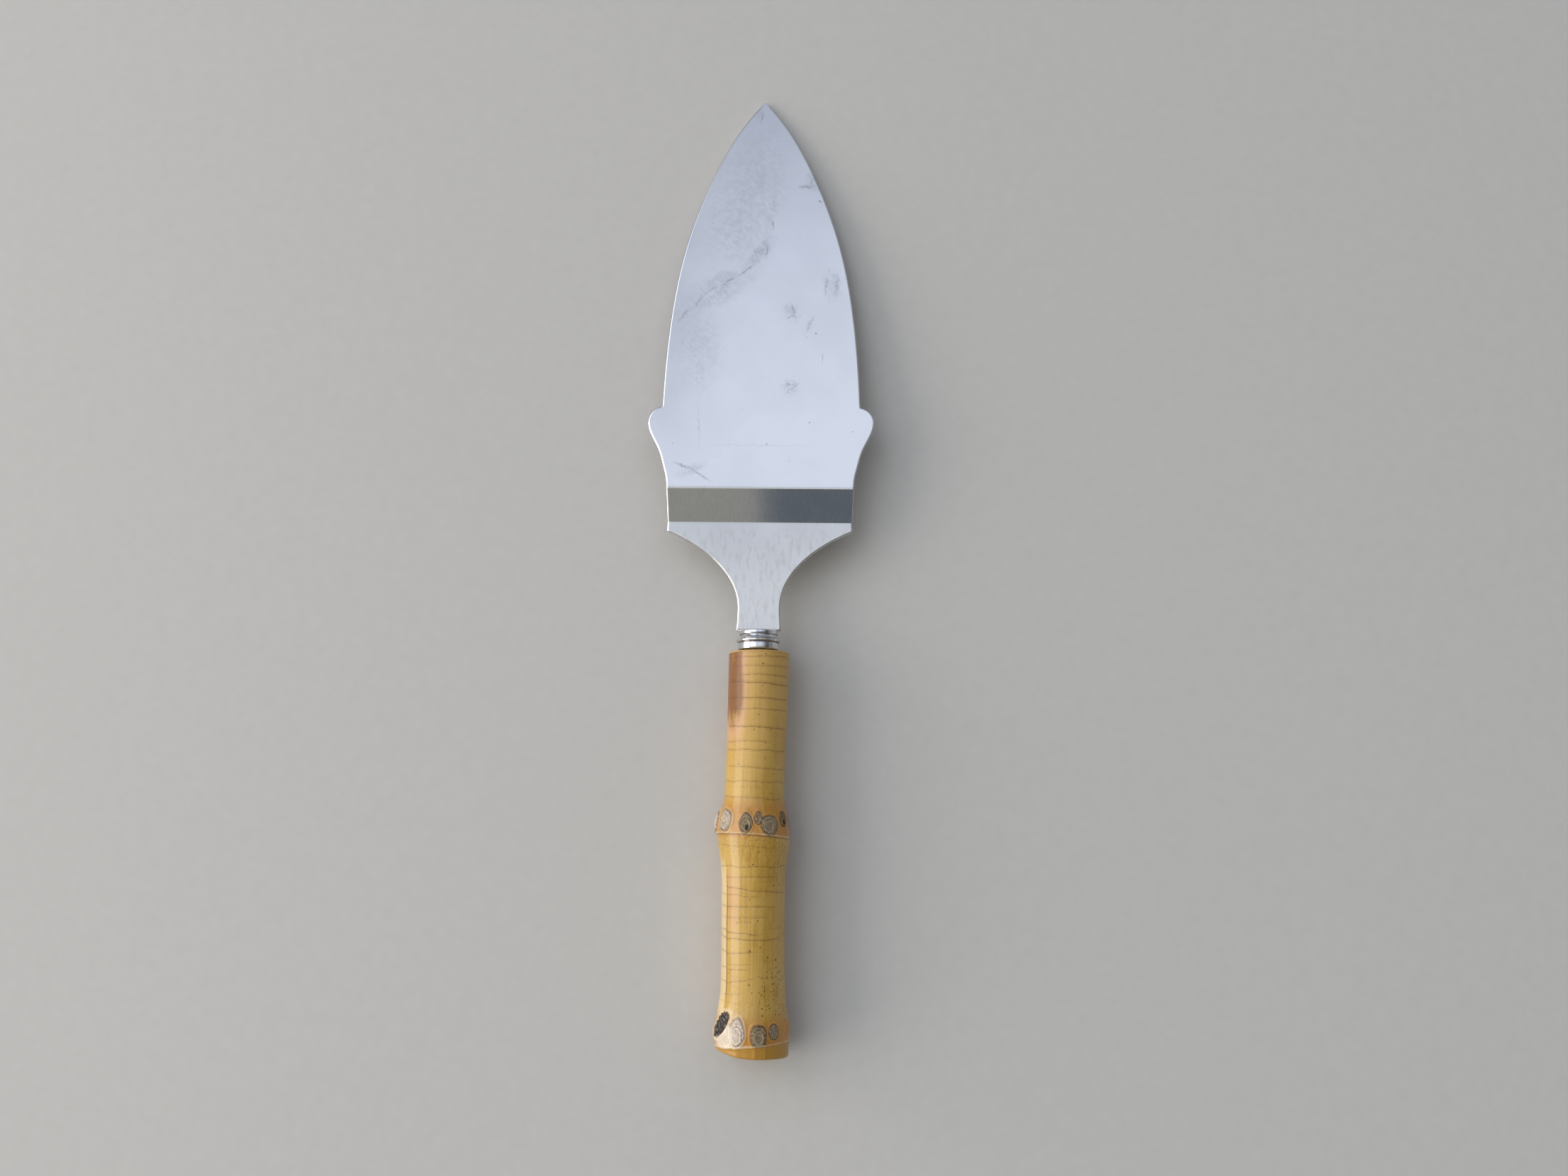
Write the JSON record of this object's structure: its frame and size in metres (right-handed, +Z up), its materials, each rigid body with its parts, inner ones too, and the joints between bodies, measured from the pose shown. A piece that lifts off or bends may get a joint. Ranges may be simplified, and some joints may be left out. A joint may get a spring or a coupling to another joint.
{
  "type": "cake server",
  "caption": "Cake server: pointed leaf-shaped steel blade with side lobes, a short step, a narrow neck, a beaded ferrule and a bamboo-root handle.",
  "frame": {"origin": "on the blade's underside, on its centre line, between the front ends of the two side lobes", "axes": "+Y from the handle towards the blade's tip, level with the table, +X to the right seen from above, +Z up; the table is 9.08 mm below the origin"},
  "size_m": [0.0616, 0.2655, 0.0192],
  "materials": {
    "satin_steel": "satin stainless sheet, worn, with matt smudges and fine scratches",
    "ferrule_chrome": "bright plating, slightly dulled",
    "solder": "dull grey soft solder",
    "rod_steel": "plain drawn rod",
    "cement": "dark handle cement",
    "bamboo": "lacquered bamboo root, semi-gloss"
  },
  "bodies": {
    "root": {"blade": "satin_steel", "ferrule": "ferrule_chrome", "ferrule_solder": "solder", "tang_rod": "rod_steel", "tang_cement": "cement", "bamboo_handle": "bamboo"}
  },
  "joints": []
}
